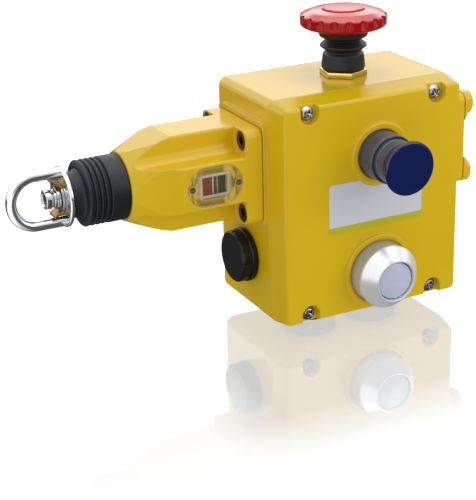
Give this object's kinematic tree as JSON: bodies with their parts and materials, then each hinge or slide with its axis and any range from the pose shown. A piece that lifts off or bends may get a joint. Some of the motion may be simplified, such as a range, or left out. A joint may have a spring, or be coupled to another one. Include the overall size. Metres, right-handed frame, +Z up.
{
  "type": "rope pull emergency stop switch",
  "caption": "Die-cast rope pull emergency stop switch with mushroom button, reset button, lamp, and a snout with bellows and swivel eye.",
  "frame": {"origin": "centre of the four fixing holes, on the rear mounting plane", "axes": "+X to the right seen from the front, so the rope pulls towards -X; +Y backwards out of the rear plane; +Z up towards the mushroom button"},
  "size_m": [0.2259, 0.0887, 0.1466],
  "materials": {
    "yellow_paint": "gloss powder coat",
    "black_rubber": "matte",
    "red_plastic": "gloss",
    "blue_plastic": "gloss",
    "grey_metal_look": "satin",
    "satin_silver": "satin",
    "lens_white": "diffusing",
    "clear_lens": "clear",
    "black_plastic": "satin",
    "grey_plastic": "matte",
    "flag_plastic": "satin",
    "steel": "turned",
    "polished_steel": "polished",
    "plated_brass": "plated",
    "bronze_bush": "sintered",
    "label_foil": "satin foil"
  },
  "bodies": {
    "switch": {"housing": "yellow_paint", "lid": "yellow_paint", "lid_gasket": "black_rubber", "lid_screws": "polished_steel", "label_plate": "label_foil", "snout": "yellow_paint", "snout_gasket": "black_rubber", "snout_screws": "black_plastic", "window_lens": "clear_lens", "window_mask": "black_plastic", "window_screws": "steel", "nose_bush": "bronze_bush", "rope_spring": "steel", "snout_bellows": "black_rubber", "end_cap": "yellow_paint", "end_cap_gasket": "black_rubber", "end_cap_screws": "black_plastic", "end_bush": "bronze_bush", "estop_barrel": "black_plastic", "estop_nut": "polished_steel", "estop_boot": "black_rubber", "estop_spring": "steel", "reset_collar": "grey_metal_look", "reset_spring": "steel", "reset_locknut": "steel", "lamp_barrel": "black_plastic", "lamp_collar": "black_plastic", "lamp_bezel": "satin_silver", "lamp_lens": "lens_white", "lamp_module": "grey_plastic", "lamp_locknut": "steel", "entry_plug": "black_plastic", "plug_seal": "black_rubber", "bottom_plugs": "black_plastic", "bottom_plug_seals": "black_rubber", "contact_blocks": "grey_plastic", "contact_bracket": "steel", "bracket_screws": "steel", "terminal_block": "grey_plastic", "terminal_screws": "plated_brass"},
    "pull_rod": {"pull_rod": "steel", "tension_flag": "flag_plastic", "spring_seat": "steel", "switching_cam": "grey_plastic", "cam_pin": "steel", "eye_bolt": "polished_steel", "eye_washer": "polished_steel"},
    "eye": {"eye_disc": "polished_steel", "eye_bow": "polished_steel", "tab_washer": "plated_brass"},
    "estop_stem": {"estop_stem": "black_plastic", "estop_clip": "steel"},
    "estop_button": {"estop_head": "red_plastic", "estop_cap": "red_plastic"},
    "reset_button": {"reset_plunger": "black_plastic", "reset_cap": "blue_plastic", "reset_clip": "steel"},
    "contact_plungers": {"contact_plungers": "flag_plastic"}
  },
  "joints": [
    {"name": "rope_pull", "type": "slide", "parent": "switch", "child": "pull_rod", "axis": [-1, 0, 0], "range_m": [0, 0.012], "stiffness_N_per_m": 2500, "deforming": ["snout_bellows", "rope_spring"]},
    {"name": "eye_swivel", "type": "hinge", "parent": "pull_rod", "child": "eye", "pos_m": [-0.1372, -0.0272, 0.0185], "axis": [-1, 0, 0], "continuous": true},
    {"name": "estop_push", "type": "slide", "parent": "switch", "child": "estop_stem", "axis": [0, 0, -1], "range_m": [0, 0.004], "stiffness_N_per_m": 1500, "deforming": ["estop_boot", "estop_spring"]},
    {"name": "estop_twist", "type": "hinge", "parent": "estop_stem", "child": "estop_button", "pos_m": [0.0037, -0.0284, 0.0767], "axis": [0, 0, -1], "range_deg": [0, 30], "stiffness_Nm_per_rad": 0.05},
    {"name": "reset_push", "type": "slide", "parent": "switch", "child": "reset_button", "axis": [0, 1, 0], "range_m": [0, 0.004], "stiffness_N_per_m": 800, "deforming": ["reset_spring"]},
    {"name": "contact_press", "type": "slide", "parent": "switch", "child": "contact_plungers", "axis": [0, 0, -1], "range_m": [0, 0.0022]}
  ],
  "couplings": [
    {"joint": "contact_press", "follows": "rope_pull", "ratio": 0.18333}
  ]
}
